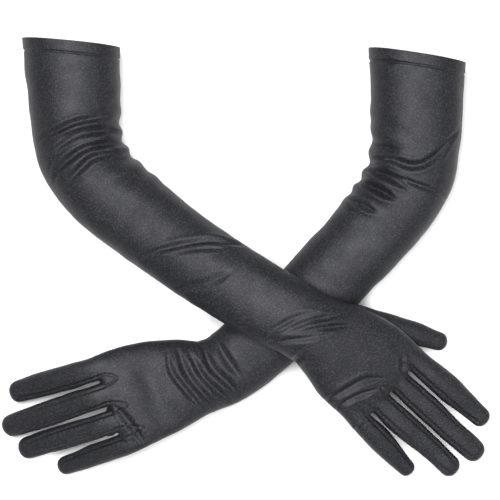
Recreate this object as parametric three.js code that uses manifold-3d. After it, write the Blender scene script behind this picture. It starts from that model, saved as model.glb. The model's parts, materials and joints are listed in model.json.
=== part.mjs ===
// A pair of opera gloves of stretch satin, laid crossed on a table in the shape of the arms that wore them.
// Millimetres, +Z up. The origin is on the table, below the place where the two forearms cross.
// The right-hand glove lies on top. Fabric bends in short fold sections at the elbow, wrist and finger roots.
import * as THREE from "three";
import { mergeVertices } from "three/addons/utils/BufferGeometryUtils.js";
import Module from "manifold-3d";

const wasm = await Module();
wasm.setup();

// Fabric
const WALL = 1.2; // doubled stretch satin, seam allowance included
const GAP = 0.4; // between pieces that are sewn or folded into each other
const BED = 0.94; // share of a tube's half height that is left where it lies flat on the table

// Sleeve, from the hem to the elbow
const HEM_WIDTH = 76;
const HEM_HEIGHT = 68;
const SLEEVE_LENGTH = 103; // hem edge to elbow
const HEM_BAND = 9.5;
const HEM_SLANT = 8.5; // degrees that the worn hem sits off square
const ELASTIC_WIDTH = 6;
const ELASTIC_THICK = 0.8;
const ELBOW_WIDTH = 70;
const ELBOW_HEIGHT = 66;
const ELBOW_REACH = 37; // from the elbow's pivot to where the sleeve and the forearm stop bending

// Forearm, from the elbow to the wrist
const FOREARM_LENGTH = 213;
const FOREARM_WIDTH = 66;
const FOREARM_HEIGHT = 58;
const FOREARM_BOW = 5;
const WRIST_WIDTH = 56;
const WRIST_HEIGHT = 38;
const WRIST_REACH = 15;
const SEAM_WIDTH = 3; // the side seam's allowance, inside the tube
const SEAM_THICK = 1;

// Hand
const PALM_LENGTH = 84; // from the wrist's pivot to where the finger roots part from it
// The palm's width and height at even steps from the wrist to the finger roots
const PALM = [
  [WRIST_WIDTH, WRIST_HEIGHT],
  [68, 32],
  [78, 27],
  [82, 19],
];
const PALM_SHIFT = -7; // the finger roots' middle lies off the wrist's line, towards the little finger
const FINGER_TURN = -10; // degrees that the fingers turn from the palm's line, towards the little finger
const FINGER_HEIGHT = 15;
const FINGER_TIP = 0.8; // share of the finger's width that is left where its tip starts to round
const KNUCKLE_REACH = 8; // from a finger's pivot to where its fold section ends
const STUB_LENGTH = 26; // of a finger's root, from its fold section back into the palm
const FOURCHETTE_HEIGHT = 8; // the strip sewn in along each inner side of a finger
const FOURCHETTE_SHARE = 0.82; // of the finger's length
// root is the crotch line's place along the finger, side is across it, towards the thumb, length is from the pivot
const FINGERS = [
  { name: "index", root: 88, side: 38.7, length: 87, width: 20.8, splay: 1.5, strips: [-1] },
  { name: "middle", root: 92, side: 16.9, length: 97, width: 20.8, splay: 0, strips: [1, -1] },
  { name: "ring", root: 88.5, side: -4.9, length: 94, width: 20.4, splay: 0, strips: [1, -1] },
  { name: "little", root: 79, side: -25.3, length: 80, width: 18.6, splay: -3, strips: [1] },
];

// Thumb
const THUMB_LENGTH = 88;
const THUMB_WIDTH = 19;
const THUMB_HEIGHT = 13;
const THUMB_PIVOT = [46, 27]; // from the wrist, along the palm and towards the thumb's side
const THUMB_REACH = 9;
const THUMB_MOUTH = [20, 17, -3]; // where the thumb's fabric is let into the palm

// How each glove lies. Headings turn from +X, pitches rise, all in degrees. A finger's pitch is from the palm's line
const POSES = [
  {
    name: "right",
    side: 1, // the thumb is on the left of the hand's heading
    elbow: [-157, 117],
    sleeve: 93,
    forearm: -33.5,
    wristZ: 67.2,
    hand: [-32, -17.5],
    fingerPitch: { index: -2, middle: 0, ring: -1, little: -8 },
    thumb: { heading: 14, pitch: -4, drop: 17 },
  },
  {
    name: "left",
    side: -1,
    elbow: [109, 107],
    sleeve: 89.5,
    forearm: 224,
    wristZ: (BED * WRIST_HEIGHT) / 2,
    hand: [190, 14],
    fingerPitch: { index: -39, middle: -37, ring: -37, little: -41 },
    thumb: { heading: -50, pitch: -9, drop: 21 }, // tucked under the palm
  },
];

const STRAIGHT = new THREE.Quaternion();
const radians = THREE.MathUtils.degToRad;
const lerp = THREE.MathUtils.lerp;
const material = (color, roughness) => new THREE.MeshStandardMaterial({ color, roughness, metalness: 0 });
const SATIN = material(0x2b2b31, 0.42);
const LINING = material(0x232328, 0.6);
const ELASTIC = material(0x18181a, 0.8);

// A curve through points, straight if there are two of them.
function path(...points) {
  const at = points.map((p) => new THREE.Vector3(...p));
  return at.length === 2 ? new THREE.LineCurve3(...at) : new THREE.CatmullRomCurve3(at);
}

// Blends the numbers in a list of rows, evenly spaced along a tube.
function along(rows, t) {
  const place = Math.min(t, 0.999999) * (rows.length - 1);
  const i = Math.floor(place);
  return rows[i].map((value, k) => lerp(value, rows[i + 1][k], place - i));
}

// Moves a lathe's points onto a tube of fabric. The lathe's y is the place along the curve, from 0 to 1, and its
// radius is the layer: 2 is the outer face, 1 the inner face and 0 the tube's middle.
// size(t) gives the half width, the half height and the slant of the section there. turn(t) gives the section's
// own axes: x along the tube, y across it and z over it.
function wrap(lathe, curve, size, { wall = WALL, inset = 0, bed = 1, turn = () => STRAIGHT }) {
  const place = lathe.getAttribute("position");
  for (let i = 0; i < place.count; i++) {
    const t = place.getY(i);
    const radius = Math.hypot(place.getX(i), place.getZ(i));
    const point = curve.getPoint(t);
    if (radius > 0.5) {
      const depth = inset + (2 - radius) * wall;
      const [width, height, slant = 0] = size(t);
      const across = ((width - depth) * place.getZ(i)) / radius;
      const over = Math.max(((height - depth) * place.getX(i)) / radius, depth - bed * height);
      point.add(new THREE.Vector3(across * slant, across, over).applyQuaternion(turn(t)));
    }
    place.setXYZ(i, point.x, point.y, point.z);
  }
  for (const name of ["normal", "uv"]) lathe.deleteAttribute(name);
  return mergeVertices(lathe, 1e-3);
}

const spread = (count, from = 0, to = 1) => Array.from({ length: count + 1 }, (_, i) => lerp(from, to, i / count));
const layer = (radius, places) => places.map((t) => new THREE.Vector2(radius, t));

// A tube of fabric, open at both ends.
function sleeveTube(curve, size, { sides = 20, steps = 3, ...rest } = {}) {
  const places = spread(steps);
  const profile = [...layer(2, places), ...layer(1, [...places].reverse())];
  profile.push(profile[0].clone());
  return wrap(new THREE.LatheGeometry(profile, sides), curve, size, rest);
}

// The solid that a tube encloses, for cutting and joining.
function plug(curve, size, { sides = 20, steps = 3, ...rest } = {}) {
  const places = spread(steps);
  const profile = [new THREE.Vector2(0, 0), ...layer(2, places), new THREE.Vector2(0, 1)];
  return wrap(new THREE.LatheGeometry(profile, sides), curve, size, rest);
}

// A tube that ends in a rounded tip.
function fingerTube(length, width, height, start, sides = 14) {
  const curve = path([start, 0, 0], [length, 0, 0]);
  const span = length - start;
  const round = (width / 2) * FINGER_TIP; // the tip is as long as its half width
  const tip = 1 - round / span;
  const size = (t) => {
    const taper = lerp(1, FINGER_TIP, Math.min(t / tip, 1));
    const end = Math.sqrt(Math.max(1 - (Math.max(t - tip, 0) / (1 - tip)) ** 2, 0));
    return [(width / 2) * taper * end, (height / 2) * taper * end];
  };
  const outer = [0, 0.5 * tip, tip, lerp(tip, 1, 0.5), lerp(tip, 1, 0.85)];
  const inner = outer.slice(0, -1);
  const profile = [
    new THREE.Vector2(0, 1 - (1.6 * WALL) / span),
    ...layer(1, inner.reverse()),
    ...layer(2, outer),
    new THREE.Vector2(0, 1),
  ];
  return wrap(new THREE.LatheGeometry(profile, sides), curve, size, {});
}

// manifold-3d's solid of a closed geometry, for joining and cutting.
function solid(geometry, matrix) {
  const placed = matrix ? geometry.clone().applyMatrix4(matrix) : geometry;
  const merged = mergeVertices(placed, 1e-3);
  const made = new wasm.Manifold(
    new wasm.Mesh({
      numProp: 3,
      vertProperties: new Float32Array(merged.attributes.position.array),
      triVerts: new Uint32Array(merged.index.array),
    }),
  );
  return made;
}

function geometryOf(made) {
  const mesh = made.getMesh();
  const geometry = new THREE.BufferGeometry();
  geometry.setAttribute("position", new THREE.BufferAttribute(new Float32Array(mesh.vertProperties), 3));
  geometry.setIndex(new THREE.BufferAttribute(new Uint32Array(mesh.triVerts), 1));
  return geometry;
}

function block(x0, x1, y0, y1, z0, z1) {
  const box = new THREE.BoxGeometry(x1 - x0, y1 - y0, z1 - z0);
  box.translate((x0 + x1) / 2, (y0 + y1) / 2, (z0 + z1) / 2);
  for (const name of ["normal", "uv"]) box.deleteAttribute(name);
  return solid(box);
}

function add(group, name, geometry, look = SATIN) {
  const mesh = new THREE.Mesh(geometry, look);
  mesh.name = name;
  group.add(mesh);
  return mesh;
}

// A group that holds a part of the arm: heading about Z, then pitch.
function limb(position, heading, pitch = 0) {
  const group = new THREE.Group();
  group.position.set(...position);
  group.rotation.set(0, -radians(pitch), radians(heading), "ZYX");
  return group;
}

const half = (width, height) => [width / 2, height / 2];
const SLEEVE_START = BED * (ELBOW_HEIGHT / 2);

// The sleeve over the upper arm, in a group whose x runs from the elbow to the hem.
function sleeve(name, pose) {
  const group = limb([...pose.elbow, 0], pose.sleeve);
  const bandStart = SLEEVE_LENGTH - HEM_BAND;
  const slant = Math.tan(radians(HEM_SLANT));
  const hemZ = BED * (HEM_HEIGHT / 2);
  const size = (x) => {
    const t = (x - ELBOW_REACH) / (SLEEVE_LENGTH - ELBOW_REACH);
    return [...along([half(ELBOW_WIDTH, ELBOW_HEIGHT), half(HEM_WIDTH, HEM_HEIGHT)], t), slant * t];
  };
  const place = (x) => {
    const t = (x - ELBOW_REACH) / (SLEEVE_LENGTH - ELBOW_REACH);
    return [x, 0, lerp(SLEEVE_START, hemZ, t)];
  };
  const cloth = (from, to, options) =>
    sleeveTube(path(place(from), place(to)), (t) => size(lerp(from, to, t)), { bed: BED, ...options });
  add(group, `${name}_sleeve`, cloth(ELBOW_REACH, bandStart - GAP, { steps: 2 }));

  // The hem is the sleeve's edge turned in over the elastic: outer layer, fold and inner layer.
  const channel = ELASTIC_THICK + 2 * GAP;
  const fold = WALL; // the fold's depth at the hem's edge
  const bandSolid = (from, to, inset) =>
    solid(
      plug(path(place(from), place(to)), (t) => size(lerp(from, to, t)), { bed: BED, inset, steps: 1 }),
    );
  const over = 2; // cutters run past the faces they open
  const hem = bandSolid(bandStart, SLEEVE_LENGTH, 0)
    .subtract(bandSolid(bandStart - over, SLEEVE_LENGTH + over, 2 * WALL + channel))
    .subtract(
      bandSolid(bandStart - over, SLEEVE_LENGTH - fold, WALL).subtract(
        bandSolid(bandStart - 2 * over, SLEEVE_LENGTH + over, WALL + channel),
      ),
    );
  add(group, `${name}_hem`, geometryOf(hem));
  const elasticEnd = SLEEVE_LENGTH - fold - GAP;
  const elastic = cloth(elasticEnd - ELASTIC_WIDTH, elasticEnd, {
    steps: 1,
    inset: WALL + GAP,
    wall: ELASTIC_THICK,
  });
  add(group, `${name}_hem_elastic`, elastic, ELASTIC);
  return group;
}

// The axes of a section on the way from one heading to another.
function turning(from, to) {
  return (t) => new THREE.Quaternion().slerpQuaternions(from, to, t);
}
const headingOf = (degrees) => new THREE.Quaternion().setFromAxisAngle(new THREE.Vector3(0, 0, 1), radians(degrees));

// The fold section of the elbow, from the sleeve's end to the forearm's.
function elbow(pose) {
  const reach = ELBOW_REACH - GAP;
  const [x, y] = pose.elbow;
  const at = (heading, z) =>
    new THREE.Vector3(x + reach * Math.cos(radians(heading)), y + reach * Math.sin(radians(heading)), z);
  const forearmZ = forearmLine(pose).height(ELBOW_REACH);
  const curve = new THREE.QuadraticBezierCurve3(
    at(pose.sleeve, SLEEVE_START),
    new THREE.Vector3(x, y, SLEEVE_START),
    at(pose.forearm, forearmZ),
  );
  const size = (t) => along([half(ELBOW_WIDTH, ELBOW_HEIGHT), half(FOREARM_WIDTH, FOREARM_HEIGHT)], t);
  const turn = turning(headingOf(pose.sleeve + 180), headingOf(pose.forearm));
  return sleeveTube(curve, size, { bed: BED, steps: 4, turn });
}

// The forearm's line, x from the elbow over the table: its length there, its height, its bow and its share.
function forearmLine(pose) {
  const start = BED * (FOREARM_HEIGHT / 2);
  const length = Math.sqrt(FOREARM_LENGTH ** 2 - (pose.wristZ - start) ** 2);
  const share = (x) => (x - ELBOW_REACH) / (length - ELBOW_REACH);
  return {
    length,
    share,
    height: (x) => lerp(start, pose.wristZ, share(x)),
    bow: (x) => -pose.side * FOREARM_BOW * 4 * share(x) * (1 - share(x)),
  };
}

// The forearm, in a group whose x runs from the elbow to the wrist.
function forearm(name, pose) {
  const group = limb([...pose.elbow, 0], pose.forearm);
  const { length, share, height, bow } = forearmLine(pose);
  const end = length - WRIST_REACH;
  const size = (x) => along([half(FOREARM_WIDTH, FOREARM_HEIGHT), half(WRIST_WIDTH, WRIST_HEIGHT)], share(x));
  const curve = path(...spread(4, ELBOW_REACH, end).map((x) => [x, bow(x), height(x)]));
  const wide = (t) => size(lerp(ELBOW_REACH, end, t));
  const options = { bed: BED, steps: 4 };
  add(group, `${name}_forearm`, sleeveTube(curve, wide, options));

  // The side seam's allowance lies inside the tube, on the little finger's side.
  const inset = WALL + GAP;
  const ring = (depth) => solid(plug(curve, wide, { ...options, inset: depth }));
  const strip = ring(inset).subtract(ring(inset + SEAM_THICK));
  const middle = height((ELBOW_REACH + end) / 2);
  const outside = pose.side > 0 ? [-FOREARM_WIDTH, 0] : [0, FOREARM_WIDTH];
  const low = middle - SEAM_WIDTH / 2;
  const tilt = Math.atan2(height(end) - height(ELBOW_REACH), end - ELBOW_REACH);
  const cutter = block(-end, 2 * end, ...outside, low - middle, low - middle + SEAM_WIDTH)
    .rotate([0, THREE.MathUtils.radToDeg(-tilt), 0])
    .translate([0, 0, height(0)]);
  add(group, `${name}_side_seam`, geometryOf(strip.intersect(cutter)), LINING);
  return group;
}

const wristPivot = (pose) => [forearmLine(pose).length, 0, pose.wristZ];

// The fold section of the wrist, in the forearm's group, from the forearm's end to the palm's start.
function wrist(pose, handGroup) {
  const { length, height, bow } = forearmLine(pose);
  const start = length - WRIST_REACH + GAP;
  const curve = new THREE.QuadraticBezierCurve3(
    new THREE.Vector3(start, bow(start), height(start)),
    new THREE.Vector3(...wristPivot(pose)),
    new THREE.Vector3(WRIST_REACH - GAP, 0, 0).applyMatrix4(handGroup.matrix),
  );
  const turn = turning(STRAIGHT, handGroup.quaternion);
  return sleeveTube(curve, () => half(WRIST_WIDTH, WRIST_HEIGHT), { bed: BED, steps: 4, turn });
}

// The group at a finger's pivot, in the hand's frame.
function fingerRoot(part, pose) {
  const turn = radians(FINGER_TURN) * pose.side;
  const ahead = part.root + KNUCKLE_REACH;
  const across = part.side * pose.side;
  const x = ahead * Math.cos(turn) - across * Math.sin(turn);
  const y = ahead * Math.sin(turn) + across * Math.cos(turn);
  const root = limb([x, y, 0], (FINGER_TURN + part.splay) * pose.side);
  root.updateMatrix();
  return root;
}

// The fold section at a finger's root: it bends from the palm's line to the finger's.
function knuckle(part, pose) {
  const bent = radians(pose.fingerPitch[part.name]);
  const reach = KNUCKLE_REACH - GAP;
  const curve = new THREE.QuadraticBezierCurve3(
    new THREE.Vector3(-reach, 0, 0),
    new THREE.Vector3(),
    new THREE.Vector3(reach * Math.cos(bent), 0, reach * Math.sin(bent)),
  );
  const beyond = limb([0, 0, 0], 0, pose.fingerPitch[part.name]);
  const size = () => half(part.width, FINGER_HEIGHT);
  const options = { sides: 14, steps: 3, turn: turning(STRAIGHT, beyond.quaternion) };
  return { root: fingerRoot(part, pose), beyond, curve, size, options };
}

// The space that the hand's fabric encloses, in the hand's frame. The open ends run on by the length over.
function handShape(pose, inset, over) {
  const shift = pose.side * PALM_SHIFT;
  const middle = lerp(WRIST_REACH, PALM_LENGTH, 0.5);
  const curve = path([WRIST_REACH - over, 0, 0], [middle, shift / 2, 0], [PALM_LENGTH - inset, shift, 0]);
  const slant = -Math.tan(radians(FINGER_TURN * pose.side));
  const rows = PALM.map(([width, height]) => half(width, height));
  const size = (t) => [...along(rows, t), slant * t];
  let whole = solid(plug(curve, size, { bed: BED, inset }));
  for (const part of FINGERS) {
    const size = () => half(part.width + 2 * WALL, FINGER_HEIGHT + 2);
    const ends = [-KNUCKLE_REACH - STUB_LENGTH, -KNUCKLE_REACH + over];
    whole = whole.add(rootPlug(part, pose, ends, size, inset));
  }
  return whole;
}

// A straight solid along a finger's root, between two places measured from the finger's pivot.
function rootPlug(part, pose, [from, to], size, inset) {
  const root = fingerRoot(part, pose);
  const straight = plug(path([from, 0, 0], [to, 0, 0]), size, { inset, sides: 14, steps: 1 });
  return solid(straight, root.matrix);
}

const largest = (made) => made.decompose().reduce((a, b) => (a.volume() > b.volume() ? a : b));

// The palm and back of the hand, with the finger roots and the thumb's opening, in the hand's frame.
function hand(pose) {
  const over = 3; // the cutting shape runs this far past the open ends
  let shell = handShape(pose, 0, 0)
    .subtract(handShape(pose, WALL, over))
    .subtract(solid(thumbDuct(pose, WALL)));
  // Each fold section has its own room beside its neighbours' roots.
  for (const part of FINGERS) {
    const { root, curve, size, options } = knuckle(part, pose);
    shell = shell.subtract(solid(plug(curve, size, { ...options, inset: -GAP }), root.matrix));
  }
  return largest(shell);
}

// The thumb's own group, in the hand's frame.
function thumbLimb(pose) {
  const { heading, pitch, drop } = pose.thumb;
  const [x, y] = THUMB_PIVOT;
  const group = limb([x, y * pose.side, -drop], heading * pose.side, pitch);
  group.updateMatrix();
  return group;
}

// The short way from the palm into the thumb, as a solid, in the hand's frame.
function thumbDuct(pose, inset) {
  const thumb = thumbLimb(pose);
  const end = new THREE.Vector3(THUMB_REACH - GAP, 0, 0).applyMatrix4(thumb.matrix);
  const [x, y, z] = THUMB_MOUTH;
  const curve = path([x, y * pose.side, z], thumb.position.toArray(), end.toArray());
  const turn = () => thumb.quaternion;
  return plug(curve, () => half(THUMB_WIDTH, THUMB_HEIGHT), { inset, sides: 14, turn });
}

// The fold section that joins the thumb to the palm.
function thumbBase(pose) {
  const around = solid(thumbDuct(pose, 0)).subtract(solid(thumbDuct(pose, WALL)));
  return largest(around.subtract(handShape(pose, -GAP, 0)));
}

// One finger beyond its fold section: its shell and the strips sewn into its sides, in the finger's frame.
function finger(name, part, pose, group) {
  const { width, length } = part;
  const tube = solid(fingerTube(length - KNUCKLE_REACH, width, FINGER_HEIGHT, KNUCKLE_REACH));
  const end = FOURCHETTE_SHARE * length;
  const high = FOURCHETTE_HEIGHT / 2;
  let shell = tube;
  for (const strip of part.strips) {
    const side = strip * pose.side;
    const wide = side > 0 ? [0.5 * (width / 2), width] : [-width, -0.5 * (width / 2)];
    const label = strip > 0 ? "outer" : "inner";
    const box = (grow) => block(-1, end + grow, ...wide, -high - grow, high + grow);
    shell = shell.subtract(box(GAP));
    add(group, `${name}_${part.name}_fourchette_${label}`, geometryOf(tube.intersect(box(0))), LINING);
  }
  add(group, `${name}_${part.name}`, geometryOf(shell));
}

// One whole glove.
function glove(pose) {
  const name = pose.name;
  const whole = new THREE.Group();
  whole.add(sleeve(name, pose));
  add(whole, `${name}_elbow`, elbow(pose));
  const arm = forearm(name, pose);
  whole.add(arm);

  const [heading, pitch] = pose.hand;
  const handGroup = limb(wristPivot(pose), heading - pose.forearm, pitch);
  handGroup.updateMatrix();
  add(arm, `${name}_wrist`, wrist(pose, handGroup));
  add(handGroup, `${name}_hand`, geometryOf(hand(pose)));
  add(handGroup, `${name}_thumb_base`, geometryOf(thumbBase(pose)));
  arm.add(handGroup);

  for (const part of FINGERS) {
    const { root, beyond, curve, size, options } = knuckle(part, pose);
    add(root, `${name}_${part.name}_knuckle`, sleeveTube(curve, size, options));
    finger(name, part, pose, beyond);
    root.add(beyond);
    handGroup.add(root);
  }

  const thumb = thumbLimb(pose);
  handGroup.add(thumb);
  add(thumb, `${name}_thumb`, fingerTube(THUMB_LENGTH - THUMB_REACH, THUMB_WIDTH, THUMB_HEIGHT, THUMB_REACH));
  return whole;
}

const pair = new THREE.Group();
for (const pose of POSES) pair.add(glove(pose));

export default pair;
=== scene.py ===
# A pair of black stretch-satin opera gloves, laid crossed in the rounded shape of the arms that wore them.
# The geometry is worked out in millimetres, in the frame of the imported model, and made in metres.
import json
import math

import bmesh
import bpy
import numpy as np
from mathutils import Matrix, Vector


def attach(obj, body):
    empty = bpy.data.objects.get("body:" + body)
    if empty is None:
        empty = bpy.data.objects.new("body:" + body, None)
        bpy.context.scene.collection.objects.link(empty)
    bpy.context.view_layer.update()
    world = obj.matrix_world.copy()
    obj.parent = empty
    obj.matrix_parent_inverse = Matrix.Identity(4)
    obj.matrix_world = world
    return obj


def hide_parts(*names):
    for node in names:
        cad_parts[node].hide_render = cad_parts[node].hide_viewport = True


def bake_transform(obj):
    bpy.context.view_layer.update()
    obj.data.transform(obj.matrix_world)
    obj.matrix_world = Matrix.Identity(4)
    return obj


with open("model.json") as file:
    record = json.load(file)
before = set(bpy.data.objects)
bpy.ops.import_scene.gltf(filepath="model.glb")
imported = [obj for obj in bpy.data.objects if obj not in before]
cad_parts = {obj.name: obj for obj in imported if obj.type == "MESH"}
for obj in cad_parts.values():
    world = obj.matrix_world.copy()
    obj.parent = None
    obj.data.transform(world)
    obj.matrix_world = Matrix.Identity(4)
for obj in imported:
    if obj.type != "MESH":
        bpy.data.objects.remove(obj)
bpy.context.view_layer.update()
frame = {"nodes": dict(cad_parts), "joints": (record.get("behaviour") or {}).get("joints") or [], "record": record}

MM = 0.001
UP = np.array([0.0, 0.0, 1.0])

# Sizes of the cloth, in millimetres
SHELL = 0.9  # thickness of one layer
HEM_BAND = 9.5  # from the arm opening to the stitch line
HEM_SHELL = 2.2  # thickness of the turned hem
SIDES = 180  # of the arm's tube
RING_STEP = 1.15
HEM_STEP = 0.55
LINE_EASE = 11  # the arm's line is eased over about this length
VOXEL = 0.85
TABLE = 0.25  # the cloth lies this far above the table
PALM_START = 14.0  # along the hand, where the arm's tube meets the palm
SLEEVE_CUT = 82.0  # along the forearm, where the sleeve's piece meets the hand's piece
FINGER_CUT = -17.0  # along a finger, from its pivot, where the palm's piece meets the finger's
FINGERS = ("index", "middle", "ring", "little")
# half widths and half heights that the CAD gives only as facets
ARM_SECTION = {"hem": (38.0, 34.0), "elbow": (35.0, 33.0), "forearm": (33.0, 29.0), "wrist": (28.5, 19.0)}


# ---------------------------------------------------------------- small tools
def unit(v):
    return v / np.linalg.norm(v)


def ease(x, low, high):
    t = np.clip((x - low) / (high - low), 0.0, 1.0)
    return t * t * (3.0 - 2.0 * t)


def hump(x, middle, width):
    return np.exp(-(((x - middle) / width) ** 2))


def joint(name):
    return next(j for j in frame["joints"] if j["name"] == name)


def pivot(name):
    return np.array(joint(name)["pos_m"]) / MM


def axis(name):
    return unit(np.array(joint(name)["axis"], float))


def cad_points(node):
    mesh = frame["nodes"][node].data
    co = np.empty(len(mesh.vertices) * 3)
    mesh.vertices.foreach_get("co", co)
    return co.reshape(-1, 3) / MM


def waves(points, seed, lengths, count=7):
    """A smooth random field from -1 to 1, made of sine waves of the given lengths in millimetres."""
    rng = np.random.default_rng(seed)
    total = np.zeros(len(points))
    for _ in range(count):
        direction = unit(rng.normal(size=3))
        length = rng.uniform(*lengths)
        total += np.sin(points @ direction * (2 * np.pi / length) + rng.uniform(0, 2 * np.pi))
    return total / math.sqrt(count)


def curve_through(points, per_span=10):
    """A Catmull-Rom curve through the given points."""
    p = np.array(points, float)
    if len(p) == 2:
        return p[0] + np.linspace(0, 1, per_span + 1)[:, None] * (p[1] - p[0])
    ends = np.vstack([2 * p[0] - p[1], p, 2 * p[-1] - p[-2]])
    out = []
    for i in range(1, len(ends) - 2):
        a, b, c, d = ends[i - 1 : i + 3]
        t = np.linspace(0, 1, per_span, endpoint=False)[:, None]
        square = 2 * a - 5 * b + 4 * c - d
        cube = 3 * b - a - 3 * c + d
        out.append(0.5 * (2 * b + (c - a) * t + square * t**2 + cube * t**3))
    out.append(p[-1:])
    return np.vstack(out)


def beside(points, curve):
    """For points in a plane: the signed distance to a curve and the place along it, from 0 to its length."""
    a, b = curve[:-1], curve[1:]
    step = b - a
    length = np.linalg.norm(step, axis=1)
    start = np.concatenate([[0], np.cumsum(length)])[:-1]
    best = np.full(len(points), 1e9)
    place = np.zeros(len(points))
    sign = np.ones(len(points))
    for k in range(len(a)):
        d = points - a[k]
        t = np.clip(d @ step[k] / (length[k] ** 2), 0.0, 1.0)
        gap = d - t[:, None] * step[k]
        far = np.linalg.norm(gap, axis=1)
        nearer = far < best
        best = np.where(nearer, far, best)
        place = np.where(nearer, start[k] + t * length[k], place)
        cross = step[k][0] * gap[:, 1] - step[k][1] * gap[:, 0]
        sign = np.where(nearer, np.sign(cross + 1e-12), sign)
    return best * sign, place, start[-1] + length[-1]


# ---------------------------------------------------------------- the arm's tube
class Glove:
    """The places and directions of one glove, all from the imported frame."""

    def __init__(self, side):
        self.side = side
        self.hand_side = 1.0 if side == "right" else -1.0
        mount = next(m for m in frame["record"]["mounts"] if m["name"] == f"{side}_arm_opening")
        self.hem = np.array(mount["pos_m"]) / MM
        self.to_hem = unit(np.array(mount["axis"], float))
        self.elbow = pivot(f"{side}_elbow_bend")
        self.wrist = pivot(f"{side}_wrist_bend")
        flat = self.wrist - self.elbow
        flat[2] = 0
        self.reach = np.linalg.norm(flat)
        self.along = unit(flat)
        self.across = np.cross(UP, self.along)
        self.hand_y = axis(f"{side}_wrist_bend")
        middle = pivot(f"{side}_middle_bend") - self.wrist
        self.hand_x = unit(middle - (middle @ self.hand_y) * self.hand_y)
        self.hand_z = np.cross(self.hand_x, self.hand_y)

    def in_hand(self, points):
        d = points - self.wrist
        return np.stack([d @ self.hand_x, d @ self.hand_y, d @ self.hand_z], axis=1)

    def from_hand(self, x, y, z):
        return self.wrist + x * self.hand_x + y * self.hand_y + z * self.hand_z

    def finger_axes(self, name):
        """The root's axes, the finger's own axes beyond the fold, its pivot and its length."""
        hinge = axis(f"{self.side}_{name}_bend")
        centre = pivot(f"{self.side}_{name}_bend")
        root_x = unit(np.cross(hinge, self.hand_z))
        points = cad_points(f"{self.side}_{name}")
        reach = np.linalg.norm(points - centre, axis=1)
        tip = points[reach.argmax()]
        ahead = tip - centre
        ahead = unit(ahead - (ahead @ hinge) * hinge)
        return {
            "pivot": centre,
            "root": (root_x, hinge, self.hand_z),
            "own": (ahead, hinge, np.cross(ahead, hinge)),
            "length": reach.max(),
        }


ELBOW_REACH = 37.0
BOW = 5.0


def arm_line(glove):
    """Stations along the arm: place, half width and half height, from the hem to the palm's start."""
    rest = 0.94
    hem, elbow, forearm, wrist = (ARM_SECTION[k] for k in ("hem", "elbow", "forearm", "wrist"))
    stations = [(glove.hem, hem)]
    start = glove.elbow + ELBOW_REACH * glove.to_hem
    start[2] = rest * elbow[1]
    stations += [((glove.hem * (1 - t) + start * t), lerp2(hem, elbow, t)) for t in (0.35, 0.7, 1.0)]
    end = glove.elbow + ELBOW_REACH * glove.along
    end[2] = rest * forearm[1]
    corner = glove.elbow.copy()
    corner[2] = rest * elbow[1]
    for t in (0.17, 0.33, 0.5, 0.67, 0.83):
        place = (1 - t) ** 2 * start + 2 * t * (1 - t) * corner + t * t * end
        stations.append((place, lerp2(elbow, forearm, t)))
    for t in (0.0, 0.2, 0.4, 0.6, 0.8, 0.91):
        place = end + t * (glove.wrist - end) - glove.across * glove.hand_side * BOW * 4 * t * (1 - t)
        stations.append((place, lerp2(forearm, wrist, t)))
    stations.append((glove.wrist, wrist))
    stations.append((glove.from_hand(PALM_START * 0.5, 0, 0), (28.2, 18.8)))
    stations.append((glove.from_hand(PALM_START, -0.3 * glove.hand_side, 0), palm_section(PALM_START)[1:3]))
    return stations


def lerp2(a, b, t):
    return (a[0] + (b[0] - a[0]) * t, a[1] + (b[1] - a[1]) * t)


# The palm at stations along the hand: x, half width, half height, shift towards the thumb, lift
PALM = np.array(
    [
        (0.0, 28.5, 19.0, 0.0, 0.0),
        (14.0, 29.0, 18.2, -0.3, 0.0),
        (30.0, 33.5, 17.0, -0.6, 0.0),
        (48.0, 38.0, 15.6, -2.2, 0.0),
        (66.0, 40.5, 13.4, -4.2, 0.3),
        (80.0, 41.0, 11.0, -6.0, 0.5),
        (88.0, 40.0, 9.0, -6.6, 0.3),
    ]
)


def palm_section(x):
    return tuple(np.interp(x, PALM[:, 0], PALM[:, k]) for k in range(5))


def resample(stations, places_of):
    """Smooth curves through the stations, at the arc places that places_of(total) gives."""
    centre = np.array([s[0] for s in stations])
    size = np.array([s[1] for s in stations])
    line = curve_through(np.hstack([centre, size]), 24)
    arc = np.concatenate([[0], np.cumsum(np.linalg.norm(np.diff(line[:, :3], axis=0), axis=1))])
    places = places_of(arc[-1])
    fine = np.arange(0, arc[-1], 1.0)
    data = np.stack([np.interp(fine, arc, line[:, k]) for k in range(5)], axis=1)
    reach = 3 * LINE_EASE
    kernel = np.exp(-0.5 * (np.arange(-reach, reach + 1) / LINE_EASE) ** 2)
    kernel /= kernel.sum()
    padded = np.vstack([2 * data[0] - data[reach:0:-1], data, 2 * data[-1] - data[-2 : -reach - 2 : -1]])
    smooth = np.stack([np.convolve(padded[:, k], kernel, "valid") for k in range(5)], axis=1)
    return np.stack([np.interp(places, fine, smooth[:, k]) for k in range(5)], axis=1), places


def ring_places(total):
    near = np.arange(0, 13.0, HEM_STEP)
    count = int(round((total - 13.0) / RING_STEP))
    return np.concatenate([near, np.linspace(13.0, total, count + 1)])


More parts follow.
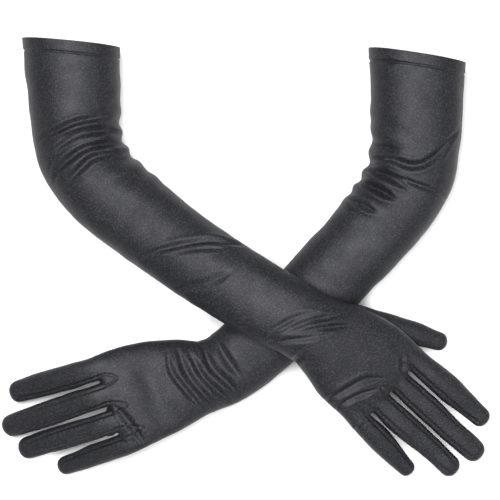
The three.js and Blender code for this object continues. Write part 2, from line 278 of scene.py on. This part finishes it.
def arm_tube(glove):
    """The arm's outer surface: rings x sides x 3, with the place along it."""
    data, places = resample(arm_line(glove), ring_places)
    centre, half = data[:, :3], data[:, 3:]
    tangent = np.gradient(centre, places, axis=0)
    tangent /= np.linalg.norm(tangent, axis=1)[:, None]
    over = np.tile(UP, (len(places), 1))
    lean = ease(places, places[-1] - 60, places[-1] - 14)[:, None]
    over = over * (1 - lean) + lean * glove.hand_z
    side = np.cross(over, tangent)
    side /= np.linalg.norm(side, axis=1)[:, None]
    over = np.cross(tangent, side)
    angle = np.linspace(0, 2 * np.pi, SIDES, endpoint=False)
    c, s = np.cos(angle), np.sin(angle)
    power = 2 / 2.15
    x = np.sign(c) * np.abs(c) ** power
    y = np.sign(s) * np.abs(s) ** power
    rings = (
        centre[:, None]
        + side[:, None] * (half[:, 0, None] * x)[..., None]
        + over[:, None] * (half[:, 1, None] * y)[..., None]
    )
    # the hem is cut at a slant, which fades out towards the elbow
    slant = math.tan(math.radians(HEM_SLANT))
    sheared = ease(places, ELBOW_ARC, 0.0)
    shear = (half[:, 0, None] * x) * slant * sheared[:, None]
    rings += tangent[:, None] * shear[..., None]
    return rings, places


HEM_SLANT = 8.5  # degrees
ELBOW_ARC = 66.0  # from the hem to where the elbow starts to bend


# ---------------------------------------------------------------- meshes
def mesh_object(name, vertices, faces):
    mesh = bpy.data.meshes.new(name)
    mesh.from_pydata([tuple(v) for v in vertices], [], [tuple(f) for f in faces])
    mesh.update()
    obj = bpy.data.objects.new(name, mesh)
    bpy.context.scene.collection.objects.link(obj)
    return obj


def closed_loft(rings):
    """Vertices and faces of a closed solid through rings of equal size."""
    n, m = rings.shape[:2]
    vertices = [*rings.reshape(-1, 3), rings[0].mean(0), rings[-1].mean(0)]
    faces = []
    for i in range(n - 1):
        for j in range(m):
            k = (j + 1) % m
            faces.append((i * m + j, i * m + k, (i + 1) * m + k, (i + 1) * m + j))
    for j in range(m):
        k = (j + 1) % m
        faces.append((n * m, k, j))
        faces.append((n * m + 1, (n - 1) * m + j, (n - 1) * m + k))
    return vertices, faces


def sections(stations, sides=40, power=2.0, steps=6):
    """Rings through stations of (centre, across, over, half width, half height)."""
    rows = np.array([[*c, *a, *o, w, h] for c, a, o, w, h in stations])
    line = curve_through(rows, steps)
    angle = np.linspace(0, 2 * np.pi, sides, endpoint=False)
    c, s = np.cos(angle), np.sin(angle)
    x = np.sign(c) * np.abs(c) ** (2 / power)
    y = np.sign(s) * np.abs(s) ** (2 / power)
    rings = []
    for row in line:
        across, over = unit(row[3:6]), unit(row[6:9])
        rings.append(row[:3] + np.outer(x * row[9], across) + np.outer(y * row[10], over))
    return np.array(rings)


def palm_solid(glove):
    turn = math.tan(math.radians(10)) * glove.hand_side
    stations = []
    for x, w, h, shift, lift in PALM[1:]:
        share = (x - PALM[1, 0]) / (PALM[-1, 0] - PALM[1, 0])
        across = unit(glove.hand_y + glove.hand_x * turn * share)
        centre = glove.from_hand(x, shift * glove.hand_side, lift)
        stations.append((centre, across, glove.hand_z, w, h))
    first = glove.from_hand(PALM_START - 10, 0, 0)
    stations.insert(0, (first, glove.hand_y, glove.hand_z, 28.6, 18.8))
    # the end is rounded off, and the finger roots grow out of it
    x, w, h, shift, lift = PALM[-1]
    across = unit(glove.hand_y + glove.hand_x * turn)
    for ahead, keep in ((2.5, 0.93), (4.5, 0.8), (5.5, 0.6)):
        centre = glove.from_hand(x + ahead, shift * glove.hand_side, lift)
        stations.append((centre, across, glove.hand_z, w * (0.9 + 0.1 * keep), h * keep))
    return sections(stations, sides=72, power=2.35)


FINGER_WIDTH = {"index": 20.6, "middle": 20.8, "ring": 20.4, "little": 18.4}
FINGER_HEIGHT = 15.4


def finger_solid(glove, name):
    f = glove.finger_axes(name)
    root, own = f["root"], f["own"]
    width = FINGER_WIDTH[name] / 2
    height = FINGER_HEIGHT / 2
    length = f["length"]
    stations = []
    for x, w, h in ((-34, 0.84, 0.9), (-24, 0.93, 1.04), (-14, 0.95, 1.1), (-7, 0.955, 1.08)):
        stations.append((f["pivot"] + x * root[0], root[1], root[2], w * width, h * height))
    round_end = 0.86 * width
    widths = (
        (7, 0.96, 1.04),
        (0.3 * length, 0.975, 1.0),
        (0.55 * length, 0.96, 0.95),
        (0.75 * length, 0.91, 0.9),
    )
    for x, w, h in widths:
        bend = 0.6 * hump(x, 0.42 * length, 0.2 * length)
        stations.append((f["pivot"] + x * own[0] + bend * own[2], own[1], own[2], w * width, h * height))
    for t in (0.0, 0.35, 0.62, 0.82, 0.95, 1.0):
        keep = math.sqrt(max(1 - t**2.3, 0.004))
        place = f["pivot"] + (length - round_end + t * round_end) * own[0]
        stations.append((place, own[1], own[2], 0.86 * width * keep, 0.85 * height * keep))
    return sections(stations, power=2.15)


def thumb_solid(glove):
    name = f"{glove.side}_thumb"
    hinge = axis(f"{name}_swing")
    centre = pivot(f"{name}_swing")
    points = cad_points(name)
    reach = np.linalg.norm(points - centre, axis=1)
    tip = points[reach.argmax()]
    ahead = tip - centre
    ahead = unit(ahead - (ahead @ hinge) * hinge)
    over = hinge * (1 if hinge @ UP > 0 else -1)
    across = np.cross(over, ahead)
    mouth = glove.from_hand(18, 16 * glove.hand_side, -3)
    length = reach.max()
    back = unit(mouth - centre)
    stations = [
        (mouth, across, over, 9.5, 8.5),
        (centre + back * 14, across, over, 10.5, 8.5),
        (centre, across, over, 10.0, 7.2),
    ]
    widths = (
        (12, 9.7, 6.8),
        (0.35 * length, 9.6, 6.6),
        (0.6 * length, 9.4, 6.5),
        (0.8 * length, 8.6, 6.0),
    )
    for x, w, h in widths:
        stations.append((centre + x * ahead, across, over, w, h))
    for t in (0.0, 0.4, 0.7, 0.88, 0.97, 1.0):
        keep = math.sqrt(max(1 - t**2.2, 0.004))
        stations.append((centre + (length - 8 + 8 * t) * ahead, across, over, 8.2 * keep, 5.8 * keep))
    return sections(stations)


def remeshed(name, solids, voxel):
    """One closed surface round several solids that run into each other, in millimetres."""
    vertices, faces = [], []
    for rings in solids:
        v, f = closed_loft(rings)
        base = len(vertices)
        vertices += [Vector(p) * MM for p in v]
        faces += [[i + base for i in face] for face in f]
    obj = mesh_object(name, vertices, faces)
    remesh = obj.modifiers.new("union", "REMESH")
    remesh.mode = "VOXEL"
    remesh.voxel_size = voxel * MM
    remesh.adaptivity = 0.0
    mesh = obj.evaluated_get(bpy.context.evaluated_depsgraph_get()).to_mesh()
    co = np.empty(len(mesh.vertices) * 3)
    mesh.vertices.foreach_get("co", co)
    polygons = [tuple(p.vertices) for p in mesh.polygons]
    bpy.data.objects.remove(obj)
    return co.reshape(-1, 3) / MM, polygons


def hand_mesh(glove):
    """The hand with its fingers and thumb as one closed surface, which joined() later cuts square where the arm's
    tube joins on.
    """
    solids = [palm_solid(glove), thumb_solid(glove)] + [finger_solid(glove, n) for n in FINGERS]
    return remeshed(f"{glove.side}_hand_form", solids, VOXEL)


def joined(glove, rings):
    """The arm's rings and the hand's surface in one bmesh, in millimetres."""
    bm = bmesh.new()
    grid = [[bm.verts.new(p) for p in ring] for ring in rings]
    count = rings.shape[1]
    for i in range(len(grid) - 1):
        for j in range(count):
            k = (j + 1) % count
            bm.faces.new((grid[i][j], grid[i][k], grid[i + 1][k], grid[i + 1][j]))

    co, polygons = hand_mesh(glove)
    part = bmesh.new()
    made = [part.verts.new(p) for p in co]
    for polygon in polygons:
        part.faces.new([made[i] for i in polygon])
    bmesh.ops.bisect_plane(
        part,
        geom=part.verts[:] + part.edges[:] + part.faces[:],
        plane_co=glove.from_hand(PALM_START + 1.2, 0, 0),
        plane_no=glove.hand_x,
        clear_inner=True,
        clear_outer=False,
    )
    loose = [v for v in part.verts if not v.link_faces]
    bmesh.ops.delete(part, geom=loose, context="VERTS")
    mesh = bpy.data.meshes.new("hand_part")
    part.to_mesh(mesh)
    part.free()
    bm.from_mesh(mesh)
    bpy.data.meshes.remove(mesh)
    bm.edges.ensure_lookup_table()
    hem_ring = set(grid[0])
    open_edges = [
        e for e in bm.edges
        if e.is_boundary and not (e.verts[0] in hem_ring and e.verts[1] in hem_ring)
    ]
    bmesh.ops.bridge_loops(bm, edges=open_edges)
    bmesh.ops.triangulate(bm, faces=[f for f in bm.faces if len(f.verts) > 4])
    bmesh.ops.recalc_face_normals(bm, faces=bm.faces[:])
    bm.verts.index_update()
    vertices = np.array([v.co[:] for v in bm.verts])
    faces = [tuple(v.index for v in f.verts) for f in bm.faces]
    bm.free()
    return vertices, faces


class Surface:
    """A mesh as arrays: vertices in millimetres, faces as tuples."""

    def __init__(self, vertices, faces):
        self.v = vertices
        self.faces = faces
        self.tri = np.array([(f[0], f[i], f[i + 1]) for f in faces for i in range(1, len(f) - 1)])
        edges = np.array([(f[i], f[(i + 1) % len(f)]) for f in faces for i in range(len(f))])
        edges = np.vstack([edges, edges[:, ::-1]])
        self.edges = np.unique(edges, axis=0)
        self.degree = np.maximum(np.bincount(self.edges[:, 0], minlength=len(vertices)), 1)

    def normals(self):
        a, b, c = (self.v[self.tri[:, k]] for k in range(3))
        n = np.cross(b - a, c - a)
        total = np.zeros_like(self.v)
        for k in range(3):
            for d in range(3):
                total[:, d] += np.bincount(self.tri[:, k], weights=n[:, d], minlength=len(self.v))
        return total / np.maximum(np.linalg.norm(total, axis=1)[:, None], 1e-9)

    def smooth(self, rounds, weight):
        for _ in range(rounds):
            mean = np.zeros_like(self.v)
            for d in range(3):
                values = self.v[self.edges[:, 1], d]
                mean[:, d] = np.bincount(self.edges[:, 0], weights=values, minlength=len(self.v))
            mean /= self.degree[:, None]
            self.v = self.v + (mean - self.v) * weight[:, None]


# ---------------------------------------------------------------- folds
# Folds in the cloth, seen from above: points in millimetres along each valley, its depth and half width.
# The points began as places read off enlarged views of the photograph and turned into millimetres.
# They were then moved. The depths and half widths are guesses.
VALLEYS = {
    "right": [
        ([(-188, 142), (-172, 149), (-155, 156), (-132, 160)], 2.6, 2.3),
        ([(-183, 138), (-166, 145), (-148, 151), (-129, 154)], 2.0, 1.9),
        ([(-178, 128), (-167, 139), (-152, 147), (-134, 149), (-120, 147)], 3.6, 3.1),
        ([(-180, 115), (-173, 129), (-157, 139), (-138, 143), (-117, 139)], 1.8, 1.5),
        ([(-176, 108), (-170, 120), (-157, 131), (-143, 138), (-118, 140)], 3.4, 2.6),
        ([(-166, 107), (-153, 120), (-141, 129), (-114, 134)], 3.2, 2.6),
        ([(-108, 51), (-90, 57), (-67, 62), (-49, 64), (-22, 60)], 2.8, 2.3),
        ([(-88, 53), (-62, 58), (-36, 58)], 1.9, 1.8),
        ([(-80, 26), (-56, 31), (-33, 41)], 1.4, 3.2),
        ([(-9, -7), (12, 4), (36, 10)], 2.2, 2.0),
        ([(2, -7), (24, 2), (49, 7)], 3.0, 2.4),
        ([(8, -8), (30, -4), (57, -1)], 2.6, 2.2),
        ([(-9, -15), (12, -12), (44, -7)], 2.2, 1.9),
        ([(22, -20), (15, -27), (8, -35)], 2.2, 2.2),
        ([(35, -62), (53, -52), (69, -44), (85, -43)], 2.4, 2.6),
        ([(44, -69), (55, -60), (79, -51)], 2.2, 2.2),
        ([(55, -92), (69, -78)], 1.6, 2.0),
        ([(97, -23), (98, -39)], 1.4, 2.0),
    ],
    "left": [
        ([(72, 206), (80, 204), (94, 202)], 1.3, 2.2),
        ([(74, 139), (82, 137), (94, 133)], 1.8, 1.8),
        ([(69, 127), (87, 127), (106, 122), (123, 130), (142, 152)], 3.2, 2.7),
        ([(70, 121), (104, 109), (126, 101), (135, 93)], 2.4, 1.7),
        ([(67, 120), (87, 113), (104, 103)], 3.4, 2.7),
        ([(63, 111), (77, 104), (93, 95)], 3.4, 2.7),
        ([(51, 99), (65, 92), (78, 85)], 2.8, 2.3),
        ([(-87, -20), (-83, -38), (-72, -53), (-57, -70)], 1.6, 2.3),
        ([(-79, -19), (-71, -39), (-56, -58), (-45, -71)], 2.3, 3.1),
        ([(-70, -22), (-58, -43), (-43, -57), (-33, -66)], 2.3, 3.1),
        ([(-59, -17), (-52, -35), (-40, -47), (-28, -60)], 2.5, 3.3),
        ([(-48, -14), (-39, -30), (-29, -43)], 2.1, 3.1),
        ([(-130, -62), (-116, -78), (-103, -96)], 1.9, 2.6),
    ],
}
# Broad hollows: points along the middle, depth and half width.
HOLLOWS = {
    "right": [],
    "left": [([(-106, -16), (-99, -50), (-88, -74), (-78, -90)], 3.4, 11.0)],
}


def near_curve(flat, points, reach, top):
    """The vertices near a curve, their distance to it and how far they are from its ends, from 0 to 1."""
    curve = curve_through(points)
    low, high = curve.min(0) - reach, curve.max(0) + reach
    near = np.nonzero(((flat > low) & (flat < high)).all(1) & (top > 0))[0]
    gap, place, total = beside(flat[near], curve)
    fade = ease(place, 0.0, 0.35 * total) * (1 - ease(place, 0.65 * total, total))
    return near, np.abs(gap), fade


def folds(surface, normals, side):
    """Height of the cloth's folds on the upper side, at each vertex: tapering valleys with soft lips."""
    count = len(surface.v)
    valley, lips, hollow = np.zeros(count), np.zeros(count), np.zeros(count)
    top = ease(normals[:, 2], -0.15, 0.4)
    flat = surface.v[:, :2]
    for points, depth, width in VALLEYS[side]:
        near, gap, fade = near_curve(flat, points, 4 * width, top)
        reach = gap / (width * (0.45 + 0.55 * fade))
        soft = np.sqrt(fade) * top[near]
        valley[near] = np.minimum(valley[near], -depth * np.exp(-(reach**2)) * soft)
        lips[near] = np.maximum(lips[near], 0.3 * depth * np.exp(-(((reach - 1.9) / 0.75) ** 2)) * soft)
    for points, depth, width in HOLLOWS[side]:
        near, gap, fade = near_curve(flat, points, 3 * width, top)
        hollow[near] -= depth * np.exp(-((gap / width) ** 2)) * fade * top[near]
    return valley + lips + hollow


def pleats(glove, points, normals):
    """Fine folds round the inside of the elbow and the wrist, on all sides."""
    height = np.zeros(len(points))
    d = points - glove.elbow
    bisector = unit(glove.to_hem + glove.along)
    inner = ease(normals @ bisector, -0.1, 0.9)
    tangent = unit(glove.along - glove.to_hem)
    s = d @ tangent
    phase = 1.6 * waves(points, 5, (50, 90), 4)
    round_pivot = hump(np.linalg.norm(d[:, :2], axis=1), 26, 30)
    height += 1.9 * inner * round_pivot * np.sin(s * 2 * np.pi / 15.0 + phase)
    w = glove.in_hand(points)
    below = ease(-(normals @ glove.hand_z), -0.2, 0.8)
    phase = 1.4 * waves(points, 9, (40, 80), 4)
    ring = hump(w[:, 0], -4, 22)
    height += 0.8 * ring * below * np.sin(w[:, 0] * 2 * np.pi / 9.5 + phase)
    return height


def finger_seams(glove, points, normals):
    """The fourchettes' seams: puckered grooves in from each finger's edge that run round the crotches."""
    height = np.zeros(len(points))
    local = glove.in_hand(points)
    upright = np.abs(normals @ glove.hand_z)
    face = ease(upright, 0.1, 0.45)
    for first, second in zip(FINGERS[:-1], FINGERS[1:]):
        a, b = glove.finger_axes(first), glove.finger_axes(second)
        inset = 3.4
        lines = []
        for f, name, towards in ((a, first, -1), (b, second, 1)):
            side = towards * glove.hand_side
            half = FINGER_WIDTH[name] / 2 - inset
            places = (f["length"] - 3, 0.7 * f["length"], 0.35 * f["length"], 6, -7)
            flat = []
            for x in places:
                taper = np.interp(x / f["length"], (0.0, 0.3, 0.75, 1.0), (0.95, 0.96, 0.91, 0.55))
                ahead = f["own"][0] if x > 0 else f["root"][0]
                p = f["pivot"] + x * ahead + side * half * taper * f["root"][1]
                flat.append(glove.in_hand(p[None])[0][:2])
            lines.append(flat)
        crotch = 0.5 * (lines[0][-1] + lines[1][-1]) - np.array([9.0, 0.0])
        curve = curve_through([*lines[0], crotch, *lines[1][::-1]])
        low, high = curve.min(0) - 5, curve.max(0) + 5
        near = np.nonzero(((local[:, :2] > low) & (local[:, :2] < high)).all(1))[0]
        gap, place, total = beside(local[near][:, :2], curve)
        reach = np.abs(gap)
        pucker = np.cos(place * 2 * np.pi / 3.1 + 1.3 * np.sin(place * 0.37))
        groove = -0.8 * np.exp(-((reach / 0.85) ** 2)) * (1 + 0.2 * pucker)
        lips = 0.2 * np.exp(-(((reach - 1.9) / 1.0) ** 2)) * (1 + 0.7 * pucker)
        ends = ease(place, 0.0, 6.0) * (1 - ease(place, total - 6.0, total))
        height[near] += (groove + lips) * face[near] * ends
    return height


def softness(points):
    """The slow unevenness of cloth that hangs on nothing in places."""
    return 0.45 * waves(points, 3, (38, 70)) + 0.16 * waves(points, 4, (14, 26))


# ---------------------------------------------------------------- materials
def satin(name, grain=1.0, base=(0.0062, 0.0064, 0.0086)):
    """Black stretch satin: a broad soft sheen, a fine grain, and bright specks in the base colour that are painted
    glints of its sparkle.
    """
    material = bpy.data.materials.new(name)
    material.use_nodes = True
    nodes, links = material.node_tree.nodes, material.node_tree.links
    shader = nodes["Principled BSDF"]
    place = nodes.new("ShaderNodeTexCoord")

    def noise(scale, detail=2.0, roughness=0.5):
        node = nodes.new("ShaderNodeTexNoise")
        node.inputs["Scale"].default_value = scale
        node.inputs["Detail"].default_value = detail
        node.inputs["Roughness"].default_value = roughness
        links.new(place.outputs["Object"], node.inputs["Vector"])
        return node

    def ramp(source, stops):
        node = nodes.new("ShaderNodeValToRGB")
        node.color_ramp.elements[0].position = stops[0][0]
        node.color_ramp.elements[0].color = stops[0][1]
        node.color_ramp.elements[1].position = stops[-1][0]
        node.color_ramp.elements[1].color = stops[-1][1]
        for position, color in stops[1:-1]:
            node.color_ramp.elements.new(position).color = color
        links.new(source, node.inputs["Fac"])
        return node

    # Specks in the base colour: the darker specks are the weave's own grain of tone, and the brightest specks are
    # painted glints standing in for the satin's sparkle.
    grain_and_glint_noise = noise(900.0, 3.0, 0.75)
    cloud = noise(90.0, 3.0)
    dark = (*[c * 0.3 for c in base], 1)
    # five times the base colour: the painted glint of the brightest specks
    painted_glint_color = (*[c * 5.0 for c in base], 1)
    color = ramp(grain_and_glint_noise.outputs["Fac"], [(0.38, dark), (0.52, (*base, 1)), (0.66, painted_glint_color)])
    links.new(color.outputs["Color"], shader.inputs["Base Color"])

    rough = ramp(cloud.outputs["Fac"], [(0.3, (0.57, 0.57, 0.57, 1)), (0.7, (0.64, 0.64, 0.64, 1))])
    links.new(rough.outputs["Color"], shader.inputs["Roughness"])

    fine = noise(1100.0, 2.0)
    bump = nodes.new("ShaderNodeBump")
    bump.inputs["Strength"].default_value = 0.6 * grain
    bump.inputs["Distance"].default_value = 0.0002
    links.new(fine.outputs["Fac"], bump.inputs["Height"])
    links.new(bump.outputs["Normal"], shader.inputs["Normal"])

    shader.inputs["IOR"].default_value = 1.42
    shader.inputs["Specular IOR Level"].default_value = 0.42
    return material


def plain(name, color, roughness, weave=0.0):
    material = bpy.data.materials.new(name)
    material.use_nodes = True
    nodes, links = material.node_tree.nodes, material.node_tree.links
    shader = nodes["Principled BSDF"]
    shader.inputs["Base Color"].default_value = (*color, 1)
    shader.inputs["Roughness"].default_value = roughness
    if weave:
        place = nodes.new("ShaderNodeTexCoord")
        wave = nodes.new("ShaderNodeTexWave")
        wave.inputs["Scale"].default_value = weave
        wave.inputs["Distortion"].default_value = 1.0
        bump = nodes.new("ShaderNodeBump")
        bump.inputs["Strength"].default_value = 0.4
        bump.inputs["Distance"].default_value = 0.0002
        links.new(place.outputs["Object"], wave.inputs["Vector"])
        links.new(wave.outputs["Fac"], bump.inputs["Height"])
        links.new(bump.outputs["Normal"], shader.inputs["Normal"])
    return material


SATIN = satin("black_satin")
ELASTIC = plain("elastic_tape", (0.012, 0.012, 0.013), 0.8, weave=500)


# ---------------------------------------------------------------- the gloves
def shell_piece(name, surface, normals, chosen, thickness, material):
    """A closed shell from the chosen faces: the outer face, an inner face and an edge round each opening."""
    faces = [surface.faces[i] for i in chosen]
    used = np.unique(np.concatenate([np.array(f) for f in faces]))
    index = np.full(len(surface.v), -1)
    index[used] = np.arange(len(used))
    outer = surface.v[used]
    inner = outer - normals[used] * thickness[used][:, None]
    inner[:, 2] = np.maximum(inner[:, 2], TABLE + 0.3)
    count = len(used)
    made = [tuple(index[list(f)]) for f in faces]
    sides = {}
    for f in made:
        for i in range(len(f)):
            sides[(f[i], f[(i + 1) % len(f)])] = True
    rim = [(a, b) for a, b in sides if (b, a) not in sides]
    all_faces = made + [tuple(i + count for i in reversed(f)) for f in made]
    all_faces += [(b, a, a + count, b + count) for a, b in rim]
    obj = mesh_object(name, np.vstack([outer, inner]) * MM, all_faces)
    mesh = obj.data
    for polygon in mesh.polygons:
        polygon.use_smooth = True
    mesh.materials.append(material)
    split = np.vstack([normals[used], -normals[used]])
    mesh.normals_split_custom_set_from_vertices([tuple(n) for n in split])
    return obj


OFF_ARM = 1e4  # stands for the place of what isn't on the arm's tube
THUMB_START, THUMB_END = 2.0, 22  # where the thumb's cloth starts to turn with it, and where it fully does
THUMB_REACH = 14  # from the thumb's axis to the cloth that is taken as the thumb's


def build(side):
    glove = Glove(side)
    rings, places = arm_tube(glove)
    vertices, faces = joined(glove, rings)
    surface = Surface(vertices, faces)
    ring_count = rings.shape[0] * rings.shape[1]
    place = np.full(len(vertices), OFF_ARM)
    place[:ring_count] = np.repeat(places, SIDES)

    # blend the finger roots, the thumb and the palm into each other
    hand = glove.in_hand(surface.v)
    weight = 0.5 * ease(hand[:, 0], 2, 14) * (np.arange(len(vertices)) >= ring_count - 8 * SIDES)
    surface.smooth(10, weight)
    roots = np.zeros(len(vertices))
    for name in FINGERS:
        f = glove.finger_axes(name)
        x = (surface.v - f["pivot"]) @ f["root"][0]
        away = np.linalg.norm(surface.v - f["pivot"], axis=1)
        roots = np.maximum(roots, hump(x, -26, 11) * hump(away, 26, 20))
    surface.smooth(40, 0.5 * roots * (place > OFF_ARM / 2))

    normals = surface.normals()
    height = folds(surface, normals, side)
    height += pleats(glove, surface.v, normals)
    height += softness(surface.v) * ease(place, 6, 30)
    surface.v = surface.v + normals * height[:, None]
    surface.smooth(2, np.full(len(vertices), 0.35) * (place > 14))
    normals = surface.normals()
    height = finger_seams(glove, surface.v, normals)
    # the hem's band stands a little proud of the sleeve, with the stitch line pulled in
    band = 0.35 * (1 - ease(place, HEM_BAND - 1.2, HEM_BAND - 0.2)) - 0.65 * hump(place, HEM_BAND, 0.8)
    height += np.where(place < 30, band, 0.0)
    surface.v = surface.v + normals * height[:, None]
    surface.v[:, 2] = np.maximum(surface.v[:, 2], TABLE)
    normals = surface.normals()

    thickness = SHELL + (HEM_SHELL - SHELL) * (1 - ease(place, HEM_BAND - 0.5, HEM_BAND + 1.0))
    split_pieces(glove, surface, normals, place, thickness)


def split_pieces(glove, surface, normals, place, thickness):
    side = glove.side
    faces = surface.faces
    centre = np.array([surface.v[list(f)].mean(0) for f in faces])
    face_place = np.array([place[list(f)].mean() for f in faces])
    forearm_x = (centre - glove.elbow) @ glove.along
    label = np.full(len(faces), 2)  # 0 hem, 1 sleeve, 2 hand, 3.. fingers, 7 thumb
    upper = (forearm_x < SLEEVE_CUT) & (face_place < OFF_ARM / 2)
    label[upper] = 1
    label[face_place < HEM_BAND] = 0
    local = glove.in_hand(centre)
    for k, name in enumerate(FINGERS):
        f = glove.finger_axes(name)
        d = centre - f["pivot"]
        x, y = d @ f["root"][0], d @ f["root"][1]
        # the nearest finger takes the face
        near = np.abs(y)
        others = []
        for other in FINGERS:
            if other != name:
                g = glove.finger_axes(other)
                others.append(np.abs((centre - g["pivot"]) @ g["root"][1]))
        mine = near <= np.min(others, axis=0)
        inside = (x > FINGER_CUT) & mine & (face_place > OFF_ARM / 2) & (local[:, 0] > 55)
        label[inside] = 3 + k
    thumb = cad_points(f"{side}_thumb")
    t0 = pivot(f"{side}_thumb_swing")
    reach = np.linalg.norm(thumb - t0, axis=1)
    ahead = unit(thumb[reach.argmax()] - t0)
    d = centre - t0
    x = d @ ahead
    off = np.linalg.norm(d - np.outer(x, ahead), axis=1)
    inside = (x > THUMB_START) & (off < THUMB_REACH) & (face_place > OFF_ARM / 2) & (d @ glove.hand_z < 9)
    # known fault: the fingers' test above has already taken the far end of the thumb
    label[inside & (label == 2)] = 7

    def piece(name, number):
        chosen = np.nonzero(label == number)[0]
        return shell_piece(f"{side}_{name}_cloth", surface, normals, chosen, thickness, SATIN)

    body = {n: f"{side}_{n}" for n in ("sleeve", "forearm", "hand", "thumb", *FINGERS)}
    hem = piece("hem", 0)
    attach(hem, body["sleeve"])
    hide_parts(f"{side}_hem")

    sleeve = piece("sleeve", 1)
    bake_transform(sleeve)
    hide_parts(f"{side}_sleeve", f"{side}_elbow")

    hand = piece("hand", 2)
    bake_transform(hand)
    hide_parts(f"{side}_forearm", f"{side}_side_seam", f"{side}_wrist", f"{side}_hand")

    for k, name in enumerate(FINGERS):
        f = glove.finger_axes(name)
        finger = piece(name, 3 + k)
        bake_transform(finger)
        nodes = [n for n in frame["nodes"] if n.startswith(f"{side}_{name}")]
        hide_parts(*nodes)

    thumb_piece = piece("thumb", 7)
    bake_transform(thumb_piece)
    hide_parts(f"{side}_thumb", f"{side}_thumb_base")

    elastic = frame["nodes"][f"{side}_hem_elastic"]
    elastic.data.materials.clear()
    elastic.data.materials.append(ELASTIC)


for which in ("left", "right"):
    build(which)


# ---------------------------------------------------------------- floor, light and camera
def floor():
    mesh = bpy.data.meshes.new("floor")
    size = 3.0
    corners = [(-size, -size, 0), (size, -size, 0), (size, size, 0), (-size, size, 0)]
    mesh.from_pydata(corners, [], [(0, 1, 2, 3)])
    obj = bpy.data.objects.new("floor", mesh)
    bpy.context.scene.collection.objects.link(obj)
    material = plain("floor_paper", (0.86, 0.86, 0.86), 0.9)
    mesh.materials.append(material)


def area_light(name, place, aim, size, power, color=(1, 1, 1)):
    data = bpy.data.lights.new(name, "AREA")
    data.shape = "RECTANGLE"
    data.size, data.size_y = size
    data.energy = power
    data.color = color
    obj = bpy.data.objects.new(name, data)
    obj.location = place
    obj.rotation_euler = (Vector(aim) - Vector(place)).to_track_quat("-Z", "Y").to_euler()
    bpy.context.scene.collection.objects.link(obj)


floor()
area_light("key", (-0.3, 0.3, 2.1), (0, 0.05, 0), (0.9, 0.9), 78)
area_light("fill", (0.8, -0.6, 1.7), (0, 0, 0), (0.8, 0.8), 26)

world = bpy.data.worlds.new("studio")
bpy.context.scene.world = world
world.use_nodes = True
world.node_tree.nodes["Background"].inputs["Color"].default_value = (1, 1, 1, 1)
world.node_tree.nodes["Background"].inputs["Strength"].default_value = 0.12

bpy.context.scene.view_settings.view_transform = "Standard"

CAMERA_HEIGHT = 2.0
FRAME_WIDTH = 0.40  # of the picture, on the table
camera_data = bpy.data.cameras.new("camera")
camera_data.sensor_width = 36
camera_data.lens = 36 * CAMERA_HEIGHT / FRAME_WIDTH
camera = bpy.data.objects.new("camera", camera_data)
camera.location = (-0.0216, 0.0568, CAMERA_HEIGHT)
bpy.context.scene.collection.objects.link(camera)
bpy.context.scene.camera = camera
